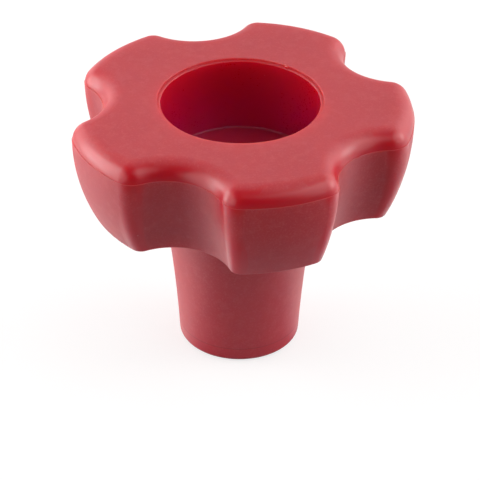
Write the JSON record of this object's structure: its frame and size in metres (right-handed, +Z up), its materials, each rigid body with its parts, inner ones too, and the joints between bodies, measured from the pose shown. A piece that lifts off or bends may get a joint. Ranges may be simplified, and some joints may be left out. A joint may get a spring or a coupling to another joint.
{
  "type": "jack handle knob",
  "caption": "Lobed hand knob with a deep recess in its top and a long tapering stem, bored through so that it turns freely on the pin of a crank handle.",
  "frame": {"origin": "centre of the stem's end face, on the axis of the pin's bore", "axes": "+Z up the bore, from the stem's end to the head's flat top; one lobe points along -Y"},
  "size_m": [0.0732, 0.0712, 0.0589],
  "materials": {
    "red_plastic": "satin"
  },
  "bodies": {
    "root": {"knob": "red_plastic"}
  },
  "joints": []
}
